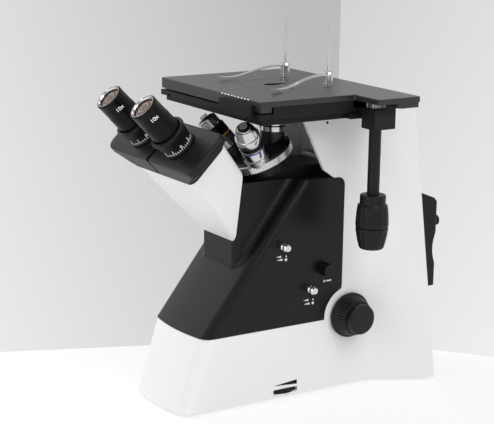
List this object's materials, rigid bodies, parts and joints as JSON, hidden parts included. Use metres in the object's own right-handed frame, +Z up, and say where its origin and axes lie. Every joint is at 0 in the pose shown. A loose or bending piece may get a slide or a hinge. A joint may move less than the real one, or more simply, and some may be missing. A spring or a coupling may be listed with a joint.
{
  "type": "inverted microscope",
  "caption": "Inverted bench microscope with a flared white stand, black front cover, inclined binocular head, objectives on a turret under a moving stage, and a lamp house behind.",
  "frame": {"origin": "point on the table plane under the optical axis of the objective in use", "axes": "+X to the user's right, +Y to the back of the stand, +Z up the optical axis"},
  "size_m": [0.216, 0.3591, 0.36],
  "materials": {
    "white_paint": "satin gloss white paint",
    "black_gloss": "gloss black paint",
    "black_satin": "black anodised, satin",
    "black_knob": "black moulded plastic",
    "stage_grey": "black semi-gloss coat",
    "stage_dark": "dark anodised, matte",
    "insert_grey": "black semi-gloss coat",
    "chrome": "polished chrome",
    "objective_silver": "satin chrome barrels with coloured bands",
    "steel": "ground steel",
    "brass": "turned brass",
    "inner_black": "matte black inside finish",
    "glass": "coated optical glass",
    "mirror": "front-surface mirror",
    "ceramic": null,
    "rubber": "black rubber",
    "supply": "sheet metal case"
  },
  "bodies": {
    "stand": {"base_casting": "white_paint", "bottom_plate": "black_satin", "bottom_screws": "steel", "rubber_feet": "rubber", "front_cover": "black_gloss", "head_neck": "white_paint", "binocular_base": "black_satin", "focus_rail": "steel", "shaft_bushes": "brass", "stage_fixed_plate": "stage_dark", "illuminator_cell": "inner_black", "beam_splitter": "glass", "fold_mirror": "mirror", "tube_lens": "glass", "collector_lens": "glass", "lamp_house": "black_gloss", "lamp_socket": "ceramic", "halogen_bulb": "glass", "potentiometer": "black_knob", "power_supply": "supply", "mains_inlet": "black_knob"},
    "coarse_carriage": {"focus_carriage": "steel", "focus_rack": "steel"},
    "fine_carriage": {"nosepiece_mount": "black_satin"},
    "turret": {"nosepiece_turret": "black_satin", "objective_low": "objective_silver", "objective_high": "objective_silver", "objective_middle": "objective_silver", "objective_lenses": "glass"},
    "coarse_drive": {"coarse_shaft": "steel", "coarse_knob_right": "black_knob", "coarse_knob_left": "black_knob"},
    "fine_drive": {"fine_shaft": "steel", "fine_knob_right": "black_knob", "fine_knob_left": "black_knob"},
    "stage_y": {"stage_middle_plate": "stage_dark", "drive_bracket": "black_satin"},
    "stage_x": {"stage_top_plate": "stage_grey", "stage_insert": "insert_grey", "clip_posts": "chrome"},
    "y_drive": {"y_drive_sleeve": "black_knob", "y_drive_knob": "black_knob"},
    "x_drive": {"x_drive_shaft": "steel", "x_drive_knob": "black_knob"},
    "clip_right": {"clip_collar_right": "chrome"},
    "clip_arm_right": {"clip_arm_right": "chrome"},
    "clip_left": {"clip_collar_left": "chrome"},
    "clip_arm_left": {"clip_arm_left": "chrome"},
    "housing_right": {"tube_housing_right": "black_satin"},
    "housing_left": {"tube_housing_left": "black_satin"},
    "diopter_right": {"diopter_ring_right": "black_knob"},
    "diopter_left": {"diopter_ring_left": "black_knob"},
    "eyepiece_right": {"eyepiece_right": "black_knob"},
    "eyepiece_left": {"eyepiece_left": "black_knob"},
    "aperture_rod": {"aperture_rod": "chrome"},
    "field_rod": {"field_rod": "chrome"},
    "filter_knob": {"filter_knob": "black_knob"},
    "brightness_wheel": {"brightness_wheel": "black_knob"},
    "rocker_switch": {"rocker_switch": "black_knob"},
    "lamp_thumbscrew": {"lamp_thumbscrew": "black_knob"}
  },
  "joints": [
    {"name": "coarse_focus", "type": "slide", "parent": "stand", "child": "coarse_carriage", "axis": [0, 0, 1], "range_m": [-0.005, 0.0005]},
    {"name": "fine_focus", "type": "slide", "parent": "coarse_carriage", "child": "fine_carriage", "axis": [0, 0, 1], "range_m": [-0.0005, 0.0005]},
    {"name": "turret_turn", "type": "hinge", "parent": "fine_carriage", "child": "turret", "pos_m": [0, 0, 0.192], "axis": [0, -0.4067, 0.9135], "continuous": true},
    {"name": "coarse_knobs", "type": "hinge", "parent": "stand", "child": "coarse_drive", "pos_m": [0, 0.061, 0.075], "axis": [1, 0, 0], "range_deg": [-5, 48]},
    {"name": "fine_knobs", "type": "hinge", "parent": "stand", "child": "fine_drive", "pos_m": [0, 0.061, 0.075], "axis": [1, 0, 0], "range_deg": [-900, 900]},
    {"name": "stage_y_travel", "type": "slide", "parent": "stand", "child": "stage_y", "axis": [0, 1, 0], "range_m": [-0.015, 0.015]},
    {"name": "stage_x_travel", "type": "slide", "parent": "stage_y", "child": "stage_x", "axis": [1, 0, 0], "range_m": [-0.015, 0.015]},
    {"name": "y_drive_turn", "type": "hinge", "parent": "stage_y", "child": "y_drive", "pos_m": [0.103, 0.0446, 0.19], "axis": [0, 0, 1], "range_deg": [-108, 108]},
    {"name": "x_drive_turn", "type": "hinge", "parent": "stage_y", "child": "x_drive", "pos_m": [0.103, 0.0446, 0.167], "axis": [0, 0, 1], "range_deg": [-108, 108]},
    {"name": "clip_lift_right", "type": "slide", "parent": "stage_x", "child": "clip_right", "axis": [0, 0, 1], "range_m": [0, 0.03]},
    {"name": "clip_swing_right", "type": "hinge", "parent": "clip_right", "child": "clip_arm_right", "pos_m": [0.0365, 0.037, 0.313], "axis": [0, 0, 1], "range_deg": [-35, 35]},
    {"name": "clip_lift_left", "type": "slide", "parent": "stage_x", "child": "clip_left", "axis": [0, 0, 1], "range_m": [0, 0.03]},
    {"name": "clip_swing_left", "type": "hinge", "parent": "clip_left", "child": "clip_arm_left", "pos_m": [-0.0365, 0.037, 0.313], "axis": [0, 0, 1], "range_deg": [-35, 35]},
    {"name": "eye_width_right", "type": "slide", "parent": "stand", "child": "housing_right", "axis": [1, 0, 0], "range_m": [-0.0015, 0.0055]},
    {"name": "eye_width_left", "type": "slide", "parent": "stand", "child": "housing_left", "axis": [1, 0, 0], "range_m": [-0.0055, 0.0015]},
    {"name": "eyepiece_travel_right", "type": "slide", "parent": "housing_right", "child": "eyepiece_right", "axis": [0, -0.7071, 0.7071], "range_m": [-0.0025, 0.0025]},
    {"name": "diopter_turn_right", "type": "hinge", "parent": "housing_right", "child": "diopter_right", "pos_m": [0.0325, -0.13789, 0.27224], "axis": [0, -0.7071, 0.7071], "range_deg": [-101, 101]},
    {"name": "eyepiece_travel_left", "type": "slide", "parent": "housing_left", "child": "eyepiece_left", "axis": [0, -0.7071, 0.7071], "range_m": [-0.0025, 0.0025]},
    {"name": "diopter_turn_left", "type": "hinge", "parent": "housing_left", "child": "diopter_left", "pos_m": [-0.0325, -0.13789, 0.27224], "axis": [0, -0.7071, 0.7071], "range_deg": [-101, 101]},
    {"name": "aperture_push", "type": "slide", "parent": "stand", "child": "aperture_rod", "axis": [1, 0, 0], "range_m": [-0.0025, 0.008]},
    {"name": "field_push", "type": "slide", "parent": "stand", "child": "field_rod", "axis": [1, 0, 0], "range_m": [-0.0025, 0.008]},
    {"name": "filter_turn", "type": "hinge", "parent": "stand", "child": "filter_knob", "pos_m": [0.05, 0.0303, 0.1256], "axis": [1, 0, 0], "continuous": true},
    {"name": "brightness_turn", "type": "hinge", "parent": "stand", "child": "brightness_wheel", "pos_m": [0.0325, -0.012, 0.0078], "axis": [0, 0, 1], "range_deg": [-135, 135]},
    {"name": "switch_rock", "type": "hinge", "parent": "stand", "child": "rocker_switch", "pos_m": [0.038, 0.14337, 0.0398], "axis": [1, 0, 0], "range_deg": [0, 5]},
    {"name": "thumbscrew_turn", "type": "hinge", "parent": "stand", "child": "lamp_thumbscrew", "pos_m": [0.026, 0.179, 0.152], "axis": [0, 1, 0], "continuous": true}
  ],
  "couplings": [
    {"joint": "coarse_knobs", "follows": "coarse_focus", "rad_per_m": -166.67},
    {"joint": "y_drive_turn", "follows": "stage_y_travel", "rad_per_m": 125},
    {"joint": "x_drive_turn", "follows": "stage_x_travel", "rad_per_m": -125},
    {"joint": "eye_width_left", "follows": "eye_width_right", "ratio": -1},
    {"joint": "diopter_turn_right", "follows": "eyepiece_travel_right", "rad_per_m": 700},
    {"joint": "diopter_turn_left", "follows": "eyepiece_travel_left", "rad_per_m": 700}
  ]
}
